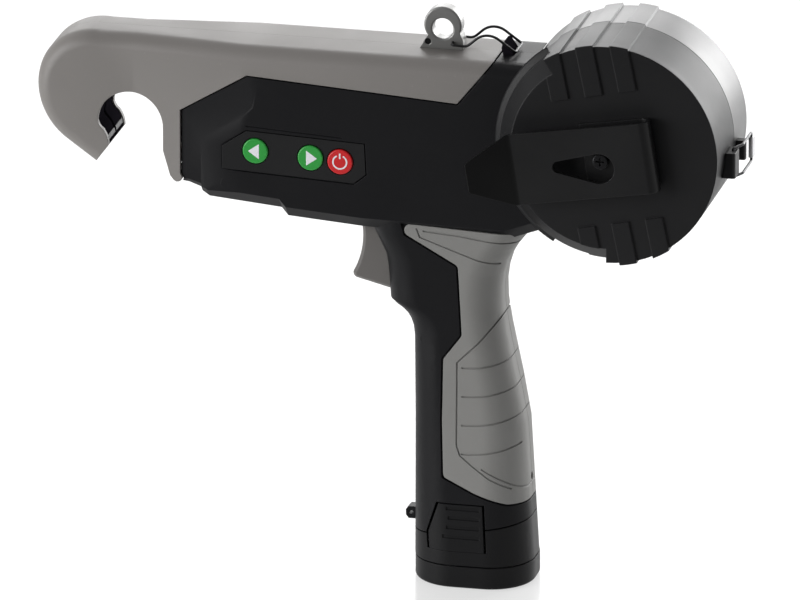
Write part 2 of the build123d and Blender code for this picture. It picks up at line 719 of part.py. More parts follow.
with BuildPart() as drum_base:
    drum_skin(drum_near_y, 0, -1)
    # Sloping skirt towards the barrel's side
    with BuildSketch(Plane.XY) as skirt:
        with BuildLine():
            Polyline((skirt_face_r, drum_near_y - rib_rise), (skirt_foot_r, skirt_foot_y),
                     (drum_r + 8, skirt_foot_y), (drum_r + 8, drum_near_y - rib_rise - 3),
                     (skirt_face_r, drum_near_y - rib_rise - 3), close=True)
        make_face()
    with BuildPart(mode=Mode.PRIVATE) as skirt_cut:
        add(Pos(drum_x, 0, drum_z) * Rot(0, -124, 0) * skirt.sketch)
        revolve(axis=Axis((drum_x, 0, drum_z), (0, -1, 0)), revolution_arc=146)
    with BuildSketch(Plane.XY) as foot:
        with BuildLine():
            Polyline((drum_r - 3, skirt_foot_y), (skirt_foot_r, skirt_foot_y),
                     (drum_r - 3, skirt_foot_y - 4.5), close=True)
        make_face()
    with BuildPart(mode=Mode.PRIVATE) as skirt_foot:
        add(Pos(drum_x, 0, drum_z) * Rot(0, -124, 0) * foot.sketch)
        revolve(axis=Axis((drum_x, 0, drum_z), (0, -1, 0)), revolution_arc=116)
    add(skirt_cut.part, mode=Mode.SUBTRACT)
    add(skirt_foot.part)
    disc((drum_x, drum_z), drum_r - wall, -28, 0, mode=Mode.SUBTRACT)
    disc((drum_x, drum_z), skirt_face_r - 2.0, drum_near_y + wall - rib_rise, 0, mode=Mode.SUBTRACT)
    disc((drum_x, drum_z), 9.0, drum_near_y, -28)
    disc((drum_x, drum_z), axle_r, -33.0, 0, mode=Mode.SUBTRACT)
    disc(clip_screw_at, screw_r, -60, -33.8, mode=Mode.SUBTRACT)
    rod(0, wire_z, 2.1, 10, 40, mode=Mode.SUBTRACT)
finish(drum_base.part, "drum_base")

with BuildPart() as drum_cover:
    drum_skin(0.4, drum_far_y, 1)
    disc((drum_x, drum_z), drum_r - wall, 0, drum_far_y - wall, mode=Mode.SUBTRACT)
    rod(0, wire_z, 2.4, 10, 40, mode=Mode.SUBTRACT)
finish(drum_cover.part, "drum_cover")

# Spool with its wire, on a fixed axle
spool_r = 44.0
hub_r = 18.0
winding_r = 40.0
spool_near_y = -26.6
spool_far_y = 24.0
flange = 2.4
with BuildPart() as wire_spool:
    disc((drum_x, drum_z), hub_r, spool_near_y, spool_far_y)
    disc((drum_x, drum_z), spool_r, spool_near_y, spool_near_y + flange)
    disc((drum_x, drum_z), spool_r, spool_far_y - flange, spool_far_y)
    for turn in range(6):
        disc(drum_point(60 * turn, 31.0), 7.0, -40, 40, mode=Mode.SUBTRACT)
    disc((drum_x, drum_z), axle_r + running_fit, -40, 40, mode=Mode.SUBTRACT)
finish(wire_spool.part, "wire_spool")

with BuildPart() as wire_winding:
    disc((drum_x, drum_z), winding_r, spool_near_y + flange, spool_far_y - flange)
    disc((drum_x, drum_z), hub_r, -40, 40, mode=Mode.SUBTRACT)
finish(wire_winding.part, "wire_winding")

with BuildPart() as spool_axle:
    disc((drum_x, drum_z), axle_r, -33.0, spool_far_y + 0.8)
finish(spool_axle.part, "spool_axle")

# Belt clip: one bent strip, turned about the drum's axis
clip_turn = 9.0
clip_thick = 1.8
clip_inner_y = drum_near_y - rib_rise - clip_thick / 2
clip_outer_y = clip_inner_y - 8.6
clip_front = -43.0
clip_tip = -65.0
clip_rear = 20.0
clip_lead = 8.5
turn = math.radians(clip_turn)
clip_along = (math.cos(turn), 0, math.sin(turn))
clip_up = (-math.sin(turn), 0, math.cos(turn))
clip_side = Plane(origin=(drum_x, 0, drum_z), x_dir=clip_along, z_dir=(0, -1, 0))
with BuildPart() as belt_clip:
    with BuildSketch(Plane(origin=(drum_x, 0, drum_z), x_dir=clip_along, z_dir=clip_up)) as clip_plan:
        with BuildLine() as clip_line:
            Line((-10.5, clip_inner_y), (clip_rear, clip_inner_y))
            ThreePointArc((clip_rear, clip_inner_y), (clip_rear + 4.3, (clip_inner_y + clip_outer_y) / 2),
                          (clip_rear, clip_outer_y))
            Line((clip_rear, clip_outer_y), (clip_front, clip_outer_y))
            Line((clip_front, clip_outer_y), (clip_tip, clip_outer_y - clip_lead))
        trace(clip_line.line, line_width=clip_thick)
    extrude(clip_plan.sketch, amount=20, both=True)
    with BuildSketch(clip_side) as clip_shape:
        with BuildLine():
            Polyline((clip_rear + 8, 17.0), (clip_front - 2, 17.0), (clip_tip - 0.6, 6.2),
                     (clip_tip - 0.6, -7.3), (clip_front - 2, -18.0), (clip_rear + 8, -18.0), close=True)
        make_face()
        fillet(clip_shape.vertices().filter_by(lambda v: v.X < drum_x - 20), 4.0)
    extrude(clip_shape.sketch, amount=70, mode=Mode.INTERSECT)
    with BuildSketch(Plane(origin=(drum_x, -44, drum_z), x_dir=clip_along, z_dir=(0, -1, 0))) as clip_slot:
        with Locations((-2.0, -3.5)):
            Circle(7.5)
        with Locations((-21.5, -1.0)):
            Circle(3.0)
        make_hull()
    extrude(clip_slot.sketch, amount=20, mode=Mode.SUBTRACT)
    disc(clip_screw_at, screw_r + 0.2, -42, 0, mode=Mode.SUBTRACT)
finish(belt_clip.part, "belt_clip")

with BuildPart() as belt_clip_screw:
    head_y = clip_inner_y - clip_thick / 2
    disc(clip_screw_at, screw_r, head_y, -34.2)
    disc(clip_screw_at, 4.0, head_y - 2.2, head_y)
    fillet(belt_clip_screw.faces().sort_by(Axis.Y)[0].edges(), 0.9)
    block(clip_screw_at[0] - 2.2, clip_screw_at[0] + 2.2, head_y - 4, head_y - 1.0, clip_screw_at[1] - 0.4,
          clip_screw_at[1] + 0.4, mode=Mode.SUBTRACT)
    block(clip_screw_at[0] - 0.4, clip_screw_at[0] + 0.4, head_y - 4, head_y - 1.0, clip_screw_at[1] - 2.2,
          clip_screw_at[1] + 2.2, mode=Mode.SUBTRACT)
finish(belt_clip_screw.part, "belt_clip_screw")

# Rear latch of the drum: bracket on the fixed half, catch on the cover, wire bail with a finger tab
latch_pivot = (127.6, -14.5)
rear_bar_x = 130.9
rear_bar_y = 12.4
rear_bail_low = 214.6
rear_bail_high = 228.9
with BuildPart() as rear_bracket:
    block(122.0, 129.8, -20.0, -9.0, 215.5, 228.0)
    fillet(rear_bracket.edges().filter_by(Axis.Z).sort_by(Axis.X)[-2:], 1.6)
    disc((drum_x, drum_z), drum_r + 0.05, -30, 0, mode=Mode.SUBTRACT)
    with BuildSketch(Plane.XY.offset(200)) as pivot_hole:
        with Locations(latch_pivot):
            Circle(bail_wire_r + running_fit)
    extrude(pivot_hole.sketch, amount=40, mode=Mode.SUBTRACT)
finish(rear_bracket.part, "rear_bracket")

with BuildPart() as rear_catch:
    block(122.0, 129.4, 5.0, 9.4, 217.0, 226.6)
    fillet(rear_catch.edges().filter_by(Axis.Z).sort_by(Axis.X)[-2:], 1.2)
    disc((drum_x, drum_z), drum_r + 0.05, -30, 30, mode=Mode.SUBTRACT)
finish(rear_catch.part, "rear_catch")

with BuildPart() as rear_bail:
    x, y = latch_pivot
    upper = [(x, y, 224.0), (x, y, rear_bail_high), (rear_bar_x, -7.0, rear_bail_high),
             (rear_bar_x, rear_bar_y, rear_bail_high)]
    lower = [(rear_bar_x, rear_bar_y, rear_bail_low), (rear_bar_x, -7.0, rear_bail_low), (x, y, rear_bail_low),
             (x, y, 219.5)]
    wire_form(upper + lower, 1.2, bail_wire_r)
finish(rear_bail.part, "rear_bail")

with BuildPart() as rear_bail_tab:
    block(129.9, 132.0, 10.6, 16.4, 216.6, 226.9)
    fillet(rear_bail_tab.edges().filter_by(Axis.Z).sort_by(Axis.X)[-2:], 0.8)
    with BuildSketch(Plane.XY.offset(200)) as bar_hole:
        with Locations((rear_bar_x, rear_bar_y)):
            Circle(bail_wire_r + 0.01)
    extrude(bar_hole.sketch, amount=40, mode=Mode.SUBTRACT)
finish(rear_bail_tab.part, "rear_bail_tab")

# Trigger
with BuildPart() as trigger:
    with BuildSketch(across(trigger_half)) as trigger_side:
        with BuildLine():
            ThreePointArc(trigger_top, trigger_waist, trigger_tip)
            Polyline(trigger_tip, trigger_low, (-33.0, trigger_low[1]), (-33.0, trigger_top[1]), trigger_top)
        make_face()
        fillet(trigger_side.vertices().sort_by(Axis.X)[0], trigger_lip_r)
    extrude(amount=2 * trigger_half)
    sides = trigger.edges().filter_by(lambda e: abs(abs(e.center().Y) - trigger_half) < 0.01)
    front = sides.filter_by(lambda e: e.center().X < -45)
    chamfer(front.filter_by(lambda e: e.center().Z < trigger_top[1] - 0.5), 1.6)
finish(trigger.part, "trigger")

with BuildPart() as trigger_switch:
    block(-22, -2, -7, 7, 151, 170)
    rod(0, 160.5, 2.0, -26.4, -22)
finish(trigger_switch.part, "trigger_switch")

# Control panel, its buttons and the board behind them
buttons = {"feed_back_button": feed_back_at, "feed_forward_button": feed_forward_at, "power_button": power_at}
with BuildPart() as control_panel:
    with BuildSketch(across(panel_depth - barrel_half)) as panel:
        with BuildLine():
            Polyline(*panel_outline, close=True)
        make_face()
        offset(amount=-panel_groove, kind=Kind.INTERSECTION)
        with Locations(*buttons.values()):
            Circle(button_r + 0.5, mode=Mode.SUBTRACT)
    extrude(amount=panel_depth - 0.2)
finish(control_panel.part, "control_panel")

for name, at in buttons.items():
    with BuildPart() as button:
        disc(at, button_r, button_y - 0.6, -20.8)
        fillet(button.faces().sort_by(Axis.Y)[0].edges(), 0.6)
        disc(at, button_r + 0.9, -21.5, -20.8)
    finish(button.part, name)

with BuildPart() as control_board:
    block(-118, -53, control_board_y, control_board_y + board_thick, 202, 221)
    for at in buttons.values():
        disc(at, 1.8, -19.8, control_board_y)
finish(control_board.part, "control_board")

with BuildPart() as main_board:
    block(-100, -50, main_board_y, main_board_y + board_thick, 229, 247)
    block(-84, -72, main_board_y - 1.4, main_board_y, 233, 243)
    block(-66, -58, main_board_y - 3.0, main_board_y, 234, 242)
finish(main_board.part, "main_board")


# Gears and wire feed
def gear_outline(teeth, first_angle):
    """Side-view points of a gear about the origin, with its first tooth at the given angle."""
    root = gear_module * (teeth / 2 - 1.25)
    tip = gear_module * (teeth / 2 + 0.85)
    pitch = 360 / teeth
    points = []
    for tooth in range(teeth):
        middle = first_angle + pitch * tooth
        for radius, share in ((root, -0.32), (tip, -0.1), (tip, 0.1), (root, 0.32)):
            angle = math.radians(middle + share * pitch)
            points.append((radius * math.cos(angle), radius * math.sin(angle)))
    return points


drive_at = (feed_x, drive_z)
idler_at = (feed_x, idler_z)
mesh_angle = math.degrees(math.atan2(pinion_at[1] - drive_z, pinion_at[0] - feed_x))
shaft_r = 3.0
small_shaft_r = 2.0
motor_r = 11.0
gear_near_y = 12.2
gear_far_y = 16.8

with BuildPart() as feed_gear:
    gear_place = (drive_at[0], gear_far_y, drive_at[1])
    with BuildSketch(Plane(origin=gear_place, x_dir=(1, 0, 0), z_dir=(0, -1, 0))) as gear:
        with BuildLine():
            Polyline(*gear_outline(gear_teeth, mesh_angle + 180 / gear_teeth), close=True)
        make_face()
        Circle(shaft_r, mode=Mode.SUBTRACT)
    extrude(amount=gear_far_y - gear_near_y)
finish(feed_gear.part, "feed_gear")

with BuildPart() as feed_pinion:
    gear_place = (pinion_at[0], gear_far_y, pinion_at[1])
    with BuildSketch(Plane(origin=gear_place, x_dir=(1, 0, 0), z_dir=(0, -1, 0))) as gear:
        with BuildLine():
            Polyline(*gear_outline(pinion_teeth, mesh_angle + 180), close=True)
        make_face()
    extrude(amount=gear_far_y - gear_near_y)
    disc(pinion_at, small_shaft_r, 0.6, gear_near_y)
finish(feed_pinion.part, "feed_pinion")

with BuildPart() as feed_motor:
    disc(pinion_at, motor_r, -19.0, 8.4)
    disc(pinion_at, small_shaft_r + running_fit, 0, 9, mode=Mode.SUBTRACT)
    disc(pinion_at, 4.0, -20.4, -19.0)
finish(feed_motor.part, "feed_motor")

with BuildPart() as feed_shaft:
    disc(drive_at, shaft_r, -12.0, 18.0)
finish(feed_shaft.part, "feed_shaft")

with BuildPart() as drive_roller:
    disc(drive_at, drive_roller_r, -4.0, 4.0)
    disc(drive_at, shaft_r, -10, 10, mode=Mode.SUBTRACT)
finish(drive_roller.part, "drive_roller")

with BuildPart() as idler_roller:
    disc(idler_at, idler_roller_r, -4.0, 4.0)
    disc(idler_at, small_shaft_r + running_fit, -10, 10, mode=Mode.SUBTRACT)
finish(idler_roller.part, "idler_roller")

with BuildPart() as idler_axle:
    disc(idler_at, small_shaft_r, -11.0, 11.0)
finish(idler_axle.part, "idler_axle")

tube_r = 2.0
with BuildPart() as mechanism_frame:
    for low in (frame_far_y, -frame_far_y - frame_thick):
        block(-40, 6, low, low + frame_thick, 200, 256)
    block(-40, 6, -frame_far_y, frame_far_y, 200, 202.4)
    for low, high in ((-40, -34), (-9, -3)):
        block(low, high, -frame_far_y, frame_far_y, wire_z - 3.6, wire_z + 3.6)
    rod(0, wire_z, tube_r, -50, 10, mode=Mode.SUBTRACT)
    disc(pinion_at, motor_r + 0.2, -20, 0, mode=Mode.SUBTRACT)
    disc(pinion_at, 4.0, 0, 20, mode=Mode.SUBTRACT)
    disc(drive_at, shaft_r + running_fit, -20, 20, mode=Mode.SUBTRACT)
    disc(idler_at, small_shaft_r, -20, 20, mode=Mode.SUBTRACT)
    for place in frame_posts:
        disc(place, screw_r + 0.2, 0, 20, mode=Mode.SUBTRACT)
        disc(place, screw_head_r + 0.6, -20, 0, mode=Mode.SUBTRACT)
finish(mechanism_frame.part, "mechanism_frame")

with BuildPart() as wire_guides:
    rod(0, wire_z, tube_r, -126, -31)
    rod(0, wire_z, tube_r, -12, 15)
    rod(0, wire_z, 1.1, -130, 20, mode=Mode.SUBTRACT)
finish(wire_guides.part, "wire_guides")

# Twisting drive along the barrel
spindle_r = 4.0
with BuildPart() as twist_motor:
    rod(0, twist_z, 13.5, -82, -46)
    rod(0, twist_z, 5.0, -46, -44)
finish(twist_motor.part, "twist_motor")

with BuildPart() as twist_gearbox:
    rod(0, twist_z, 15.0, -103, -82)
    rod(0, twist_z, 7.0, -106, -103)
    rod(0, twist_z, spindle_r + running_fit, -107, -96, mode=Mode.SUBTRACT)
finish(twist_gearbox.part, "twist_gearbox")

with BuildPart() as twist_spindle:
    rod(0, twist_z, spindle_r, -146, -96.4)
    rod(0, twist_z, 5.0, -152.5, -146)
    block(-153, -147.5, -0.9, 0.9, 200, 220, mode=Mode.SUBTRACT)
finish(twist_spindle.part, "twist_spindle")

with BuildPart() as spindle_bush:
    rod(0, twist_z, 6.48, -141.4, -137)
    rod(0, twist_z, 7.0, -138.6, -137)
    rod(0, twist_z, spindle_r + running_fit, -150, -130, mode=Mode.SUBTRACT)
finish(spindle_bush.part, "spindle_bush")

# Battery pack: foot cap, case with a tower inside the grip, cells, terminals and two latch tabs
tower = (-24.4, 15.4, -10.6, 10.6)
tower_top = 98.0
cell_r = 9.1
cell_low = 31.0
cell_places = [-13.8, 4.8]
terminal_places = [-12.0, -4.5, 3.0]
seam_gap = 0.7
foot_gap = 0.6
with BuildPart() as battery_foot_cap:
    block(-29.6, 29.3, -25.5, 25.5, 0, foot_z - foot_gap, rounding=22.0)
    fillet(battery_foot_cap.faces().sort_by(Axis.Z)[0].edges(), foot_edge)
    block(-26.8, 26.5, -22.7, 22.7, 2.4, 20, mode=Mode.SUBTRACT, rounding=19.2)
finish(battery_foot_cap.part, "battery_foot_cap")

case_cavity = grip_loft(2.2)
with BuildPart() as battery_case:
    add(grip_outer)
    plate([(-45, foot_z), (45, foot_z), (45, seam_z(45) - seam_gap), (-45, seam_z(-45) - seam_gap)], -40, 40,
          mode=Mode.INTERSECT)
    with BuildPart(mode=Mode.PRIVATE) as case_room:
        add(case_cavity)
        plate([(-45, 0), (45, 0), (45, seam_z(45) - 2.6), (-45, seam_z(-45) - 2.6)], -40, 40,
              mode=Mode.INTERSECT)
    add(case_room.part, mode=Mode.SUBTRACT)
    block(*tower, 20.0, tower_top, rounding=8.0)
    block(tower[0] + 1.3, tower[1] - 1.3, tower[2] + 1.3, tower[3] - 1.3, 10, tower_top - 1.3,
          mode=Mode.SUBTRACT, rounding=6.7)
    for low, high in ((-40, -17), (17, 40)):
        plate(latch_notch(), low, high, mode=Mode.SUBTRACT)
    for x in terminal_places:
        block(x - 0.4, x + 0.4, -3.0, 3.0, 90, 110, mode=Mode.SUBTRACT)
finish(battery_case.part, "battery_case")

with BuildPart() as battery_cells:
    for x in cell_places:
        with BuildSketch(Plane.XY.offset(cell_low)) as cell:
            with Locations((x, 0)):
                Circle(cell_r)
        extrude(cell.sketch, amount=65)
finish(battery_cells.part, "battery_cells")

with BuildPart() as battery_terminals:
    for x in terminal_places:
        block(x - 0.4, x + 0.4, -3.0, 3.0, tower_top - 1.3, 106)
finish(battery_terminals.part, "battery_terminals")

with BuildPart() as battery_socket:
    block(-18, 10, -16, 16, 101, 109)
    for x in terminal_places:
        block(x - 0.8, x + 0.8, -3.8, 3.8, 90, 107, mode=Mode.SUBTRACT)
    for low, high in ((-17, -14), (14, 17)):
        block(-14.2, 8.2, low, high, 102.8, 107.2, mode=Mode.SUBTRACT)
finish(battery_socket.part, "battery_socket")

with BuildPart() as latch_grooves:
    add(grip_outer)
    add(groove_floor, mode=Mode.SUBTRACT)
    with BuildPart(mode=Mode.PRIVATE) as latch_slices:
        for x, z in latch_lines:
            block(x, latch_line_end, -40, 40, z - latch_line_width / 2, z + latch_line_width / 2)
    add(latch_slices.part, mode=Mode.INTERSECT)

for side, name in ((-1, "battery_latch_left"), (1, "battery_latch_right")):
    with BuildPart() as battery_latch:
        add(grip_outer)
        add(case_cavity, mode=Mode.SUBTRACT)
        add(latch_grooves.part, mode=Mode.SUBTRACT)
        plate(latch_outline, -40, 40, mode=Mode.INTERSECT)
        split(bisect_by=Plane.XZ, keep=Keep.BOTTOM if side > 0 else Keep.TOP)
    finish(battery_latch.part, name)

# Strap lug at the grip's lower front
with BuildPart() as strap_lug:
    plate([(-29.7, 26.2), (-33.6, 26.2), (-35.0, 28.0), (-35.0, 30.6), (-33.6, 32.2), (-29.7, 32.2)],
          -3.4, 3.4)
    disc((-32.4, 29.2), 1.1, -10, 10, mode=Mode.SUBTRACT)
finish(strap_lug.part, "strap_lug")


# Screws
def countersunk_group(places, seat_of, reach):
    """Screws along Y from the plain side: head seated at the given Y, thread running to the control side."""
    with BuildPart() as group:
        for place in places:
            seat = seat_of(place)
            disc(place, screw_r, -reach, seat)
            disc(place, screw_head_r, seat, seat + 1.6)
            block(place[0] - 1.8, place[0] + 1.8, seat + 0.8, seat + 3, place[1] - 0.35, place[1] + 0.35,
                  mode=Mode.SUBTRACT)
            block(place[0] - 0.35, place[0] + 0.35, seat + 0.8, seat + 3, place[1] - 1.8, place[1] + 1.8,
                  mode=Mode.SUBTRACT)
    return group.part


finish(countersunk_group(post_places, lambda place: post_depth(place) - 1.4, 10.0), "housing_screws")
finish(countersunk_group(hood_posts, lambda place: local_half(place[0]) - 2.2, 10.0), "hood_screws")

with BuildPart() as frame_screws:
    for place in frame_posts:
        disc(place, screw_r, frame_far_y, 18.0)
        disc(place, screw_head_r, frame_far_y - 1.6, frame_far_y)
finish(frame_screws.part, "frame_screws")
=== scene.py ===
"""Looks of the vine tying tool: moulded plastics, soft grip, painted clip, keys with signs, studio light."""

import math

import bmesh
import bpy
from mathutils import Matrix, Vector


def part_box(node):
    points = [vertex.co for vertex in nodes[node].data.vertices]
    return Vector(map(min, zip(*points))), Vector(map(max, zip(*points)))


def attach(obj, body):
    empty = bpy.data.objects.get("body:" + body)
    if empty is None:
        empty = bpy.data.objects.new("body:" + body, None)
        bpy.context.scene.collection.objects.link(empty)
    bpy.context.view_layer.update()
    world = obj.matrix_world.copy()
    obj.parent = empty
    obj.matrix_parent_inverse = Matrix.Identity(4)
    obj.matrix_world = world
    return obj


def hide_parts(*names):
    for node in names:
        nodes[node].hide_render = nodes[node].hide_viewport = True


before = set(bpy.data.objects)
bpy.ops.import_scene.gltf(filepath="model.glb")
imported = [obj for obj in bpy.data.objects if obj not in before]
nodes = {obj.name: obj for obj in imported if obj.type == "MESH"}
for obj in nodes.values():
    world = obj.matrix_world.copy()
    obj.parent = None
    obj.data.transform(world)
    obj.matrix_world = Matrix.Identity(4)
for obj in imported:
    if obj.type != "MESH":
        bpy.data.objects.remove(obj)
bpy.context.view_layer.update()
mm = 0.001

# View of the photograph: its angles, a long lens, and where the middle of the tool's foot lies in the image
view_round = math.radians(13.0)
view_up = math.radians(18.5)
lens_mm = 900.0
pixels_per_metre = 2083.0
sensor_mm = 36.0
image_wide = 800
image_high = 600
origin_at = (478.5, 573.5)

# Colours, in linear light
warm_grey = (0.186, 0.175, 0.166, 1.0)
grip_grey = (0.212, 0.210, 0.202, 1.0)
eye_grey = (0.23, 0.23, 0.225, 1.0)
body_black = (0.0085, 0.0085, 0.0095, 1.0)
drum_black = (0.0068, 0.0068, 0.0076, 1.0)
foot_black = (0.0070, 0.0070, 0.0076, 1.0)
clip_black = (0.0075, 0.0075, 0.008, 1.0)
# Painted shade for the clip's tongue
tongue_painted_shade = (0.0004, 0.0004, 0.0005, 1.0)
guide_black = (0.010, 0.009, 0.012, 1.0)
panel_black = (0.0055, 0.0055, 0.0062, 1.0)
key_green = (0.022, 0.29, 0.042, 1.0)
key_red = (0.55, 0.012, 0.015, 1.0)
sign_white = (0.74, 0.74, 0.78, 1.0)
floor_white = (0.88, 0.88, 0.88, 1.0)
floor_dim = (0.1, 0.1, 0.1, 1.0)
pure_white = (1.0, 1.0, 1.0, 1.0)

# Floor: its side, its drop below the foot, the share of glow, and where it turns from dim to lit
floor_side = 14.0
floor_drop = 0.0002
floor_glow = 0.6
floor_dim_y = -0.75
floor_lit_y = -0.12
floor_rough = 0.18

# Marks on moulded plastic: most colour that a rub or a speck adds, and most that the painted highlight along
# an edge adds
rub_most = 0.35
edge_highlight_most = 0.55
speck_most = 0.12
tone_lift = 1.09
speck_lift = 2.0

# Shading of the solids: corners up to this angle look round, and split corners this close are joined
round_up_to = 30.0
join_within = 0.000002

# Soft boxes: place, width, height and power
soft_boxes = {
    "back_left_box": ((-0.5, 1.9, 0.9), 1.4, 1.0, 15.0),
    "back_right_box": ((0.95, 1.8, 0.62), 1.4, 1.1, 31.0),
    "front_left_box": ((-1.7, -1.3, 0.5), 1.4, 1.2, 42.0),
}


# Shared effects
def new_group(name, inputs, outputs):
    """Empty shader node group with float inputs and the given outputs."""
    group = bpy.data.node_groups.new(name, "ShaderNodeTree")
    for label, value in inputs:
        socket = group.interface.new_socket(label, in_out="INPUT", socket_type="NodeSocketFloat")
        socket.default_value = value
    for label, kind in outputs:
        group.interface.new_socket(label, in_out="OUTPUT", socket_type=kind)
    return group, group.nodes.new("NodeGroupInput"), group.nodes.new("NodeGroupOutput")


def math_node(tree, operation, first, second=None, clamp=False):
    """Math node fed by sockets or numbers."""
    node = tree.nodes.new("ShaderNodeMath")
    node.operation = operation
    node.use_clamp = clamp
    for index, value in enumerate((first, second)):
        if value is None:
            continue
        if isinstance(value, (int, float)):
            node.inputs[index].default_value = value
        else:
            tree.links.new(value, node.inputs[index])
    return node.outputs[0]


def noise_node(tree, place, scale, detail=2.0, roughness=0.5):
    """Noise value at the given place, with its scale from a number or a socket."""
    node = tree.nodes.new("ShaderNodeTexNoise")
    node.inputs["Detail"].default_value = detail
    node.inputs["Roughness"].default_value = roughness
    tree.links.new(place, node.inputs["Vector"])
    if isinstance(scale, (int, float)):
        node.inputs["Scale"].default_value = scale
    else:
        tree.links.new(scale, node.inputs["Scale"])
    return node.outputs["Fac"]


def range_node(tree, value, low, high, new_low, new_high):
    """Value carried from one range to another, held at its ends."""
    node = tree.nodes.new("ShaderNodeMapRange")
    node.inputs["From Min"].default_value = low
    node.inputs["From Max"].default_value = high
    node.inputs["To Min"].default_value = new_low
    node.inputs["To Max"].default_value = new_high
    tree.links.new(value, node.inputs["Value"])
    return node.outputs["Result"]


def make_mould_grain():
    """Spark-eroded mould texture: fine pits, their sheen, and slow tone over the moulding."""
    kind = "NodeSocketFloat"
    group, given, result = new_group("mould_grain", [("Pits per metre", 2400.0)],
                                     [("Height", kind), ("Sheen", kind), ("Tone", kind)])
    place = group.nodes.new("ShaderNodeTexCoord").outputs["Object"]
    pits = noise_node(group, place, given.outputs["Pits per metre"], detail=3.0, roughness=0.65)
    cells = group.nodes.new("ShaderNodeTexVoronoi")
    cells.feature = "SMOOTH_F1"
    group.links.new(place, cells.inputs["Vector"])
    group.links.new(given.outputs["Pits per metre"], cells.inputs["Scale"])
    height = math_node(group, "ADD", math_node(group, "MULTIPLY", pits, 0.65),
                       math_node(group, "MULTIPLY", cells.outputs["Distance"], 0.35))
    slow = noise_node(group, place, 26.0, detail=3.0)
    flow = noise_node(group, place, 7.0, detail=2.0)
    group.links.new(height, result.inputs["Height"])
    group.links.new(range_node(group, slow, 0.3, 0.7, 0.0, 1.0), result.inputs["Sheen"])
    group.links.new(range_node(group, flow, 0.3, 0.7, 0.0, 1.0), result.inputs["Tone"])
    return group


def make_soft_edge():
    """Moulded edge: a rounded normal near sharp corners, and a mask of those corners."""
    group, given, result = new_group("soft_edge", [("Radius", 0.0006)],
                                     [("Normal", "NodeSocketVector"), ("Edge", "NodeSocketFloat")])
    bevel = group.nodes.new("ShaderNodeBevel")
    bevel.samples = 6
    group.links.new(given.outputs["Radius"], bevel.inputs["Radius"])
    flat = group.nodes.new("ShaderNodeNewGeometry")
    along = group.nodes.new("ShaderNodeVectorMath")
    along.operation = "DOT_PRODUCT"
    group.links.new(bevel.outputs["Normal"], along.inputs[0])
    group.links.new(flat.outputs["Normal"], along.inputs[1])
    group.links.new(bevel.outputs["Normal"], result.inputs["Normal"])
    group.links.new(range_node(group, along.outputs["Value"], 0.995, 0.86, 0.0, 1.0), result.inputs["Edge"])
    return group


def make_handling():
    """Faint marks of use: dust specks and rubbed patches."""
    group, _, result = new_group("handling", [], [("Rub", "NodeSocketFloat"), ("Speck", "NodeSocketFloat")])
    place = group.nodes.new("ShaderNodeTexCoord").outputs["Object"]
    rub = noise_node(group, place, 48.0, detail=6.0, roughness=0.7)
    speck = noise_node(group, place, 900.0, detail=1.0)
    group.links.new(range_node(group, rub, 0.52, 0.78, 0.0, 1.0), result.inputs["Rub"])
    group.links.new(range_node(group, speck, 0.72, 0.78, 0.0, 1.0), result.inputs["Speck"])
    return group


mould_grain = make_mould_grain()
soft_edge = make_soft_edge()
handling = make_handling()


# Finishes
def new_material(name):
    """Material with an empty principled surface."""
    material = bpy.data.materials.new(name)
    material.use_nodes = True
    return material, material.node_tree, material.node_tree.nodes["Principled BSDF"]


def place_group(tree, group, **values):
    """Effect placed in a material with its own values."""
    node = tree.nodes.new("ShaderNodeGroup")
    node.node_tree = group
    for label, value in values.items():
        node.inputs[label.replace("_", " ")].default_value = value
    return node


def tint(tree, base, share, other):
    """Colour moved towards another by a mask."""
    mix = tree.nodes.new("ShaderNodeMix")
    mix.data_type = "RGBA"
    tree.links.new(share, mix.inputs["Factor"])
    if isinstance(base, tuple):
        mix.inputs["A"].default_value = base
    else:
        tree.links.new(base, mix.inputs["A"])
    mix.inputs["B"].default_value = other
    return mix.outputs["Result"]


def scaled(colour, factor):
    """Colour made lighter or darker."""
    return tuple(min(part * factor, 1.0) for part in colour[:3]) + (1.0,)


def add_relief(tree, surface, height, normal, depth):
    """Bump of the given depth in metres over a given normal."""
    bump = tree.nodes.new("ShaderNodeBump")
    bump.inputs["Distance"].default_value = depth
    bump.inputs["Strength"].default_value = 1.0
    tree.links.new(height, bump.inputs["Height"])
    if normal is not None:
        tree.links.new(normal, bump.inputs["Normal"])
    tree.links.new(bump.outputs["Normal"], surface.inputs["Normal"])


def moulded(name, colour, rough, pits=2400.0, depth=0.00003, radius=0.0006, edge_highlight_lift=1.5, sheen=0.08,
            rub=1.25, gloss=0.5, metal_share=0.0):
    """Moulded plastic: grain, soft edges with a painted highlight, rubbed patches and specks."""
    material, tree, surface = new_material(name)
    surface.inputs["Specular IOR Level"].default_value = gloss
    surface.inputs["Metallic"].default_value = metal_share
    grain = place_group(tree, mould_grain, Pits_per_metre=pits)
    edge = place_group(tree, soft_edge, Radius=radius)
    marks = place_group(tree, handling)
    rub_share = math_node(tree, "MULTIPLY", marks.outputs["Rub"], rub_most)
    edge_highlight_share = math_node(tree, "MULTIPLY", edge.outputs["Edge"], edge_highlight_most)
    speck_share = math_node(tree, "MULTIPLY", marks.outputs["Speck"], speck_most)
    toned = tint(tree, colour, grain.outputs["Tone"], scaled(colour, tone_lift))
    rubbed = tint(tree, toned, rub_share, scaled(colour, rub))
    # Corners made lighter in colour: a painted highlight along the edges
    highlighted = tint(tree, rubbed, edge_highlight_share, scaled(colour, edge_highlight_lift))
    specked = tint(tree, highlighted, speck_share, scaled(colour, speck_lift))
    tree.links.new(specked, surface.inputs["Base Color"])
    tree.links.new(range_node(tree, grain.outputs["Sheen"], 0.0, 1.0, rough - sheen / 2, rough + sheen / 2),
                   surface.inputs["Roughness"])
    add_relief(tree, surface, grain.outputs["Height"], edge.outputs["Normal"], depth)
    return material


